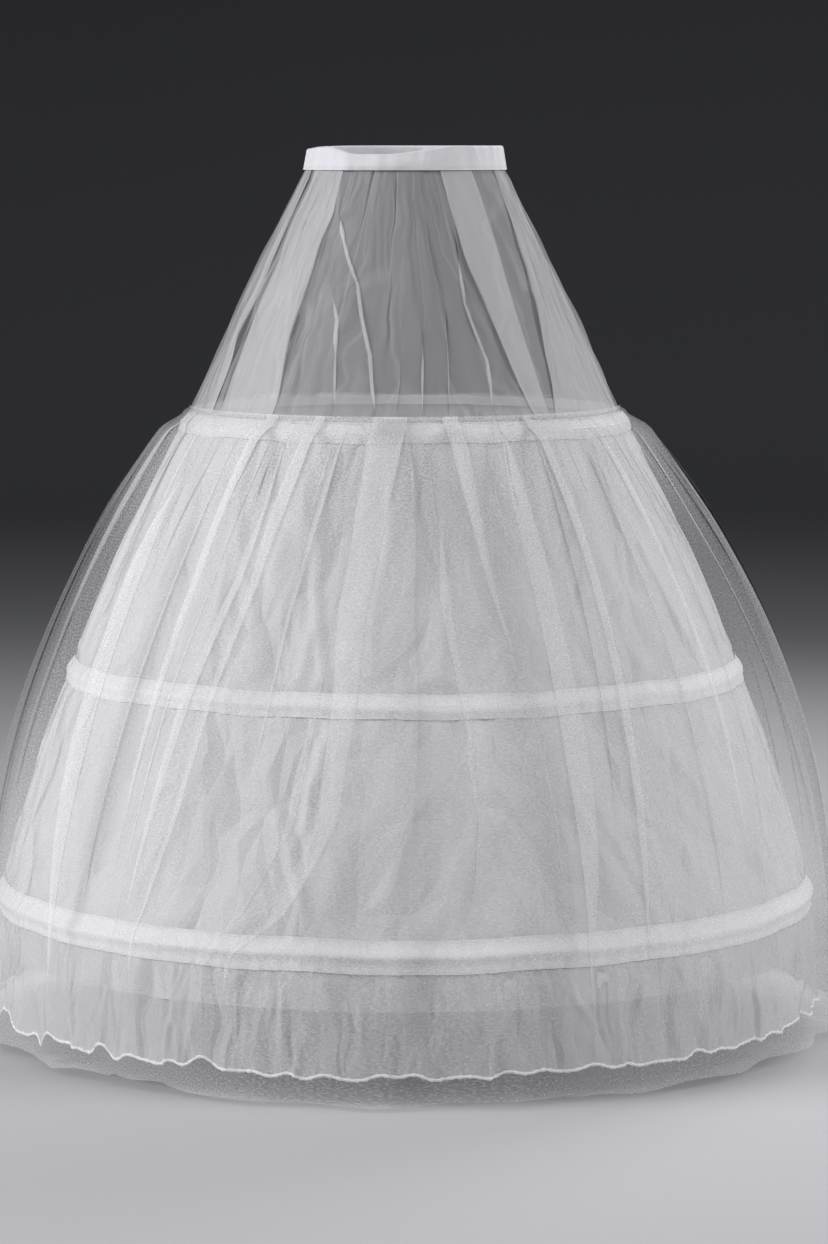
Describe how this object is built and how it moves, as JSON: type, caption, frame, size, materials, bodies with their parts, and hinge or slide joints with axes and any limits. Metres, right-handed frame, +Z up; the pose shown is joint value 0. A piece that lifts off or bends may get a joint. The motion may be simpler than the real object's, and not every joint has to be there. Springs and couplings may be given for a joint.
{
  "type": "hoop petticoat",
  "caption": "Bell-shaped bridal petticoat: gripping waistband, pleated sheer yoke, sprung hoops in sewn casings on a lining, rippled flounce and a loose net overlay.",
  "frame": {"origin": "middle of the waist opening, halfway up the waistband", "axes": "+Z up along the waist opening, front of the skirt towards -Y, +X to the viewer's right seen from the front"},
  "size_m": [0.9307, 0.9322, 0.9231],
  "materials": {
    "waistband_cloth": "smooth matt woven cloth",
    "elastic": "ribbed elastic tape",
    "yoke_cloth": "thin sheer woven cloth, creased",
    "binding_tape": "woven tape",
    "casing_tape": "woven tape",
    "hoop_wire": "white coating on spring wire",
    "ferrule_metal": "plated tube",
    "lining_cloth": "thin woven lining, creased",
    "flounce_cloth": "thin woven cloth with an overlocked hem",
    "net": "fine soft net"
  },
  "bodies": {
    "root": {"waistband": "waistband_cloth", "waist_elastic": "elastic", "yoke": "yoke_cloth", "hip_binding": "binding_tape", "top_casing": "casing_tape", "middle_casing": "casing_tape", "bottom_casing": "casing_tape", "top_hoop": "hoop_wire", "middle_hoop": "hoop_wire", "bottom_hoop": "hoop_wire", "top_ferrule": "ferrule_metal", "middle_ferrule": "ferrule_metal", "bottom_ferrule": "ferrule_metal", "upper_tier": "lining_cloth", "lower_tier": "lining_cloth", "flounce": "flounce_cloth", "net_overlay": "net"}
  },
  "joints": []
}
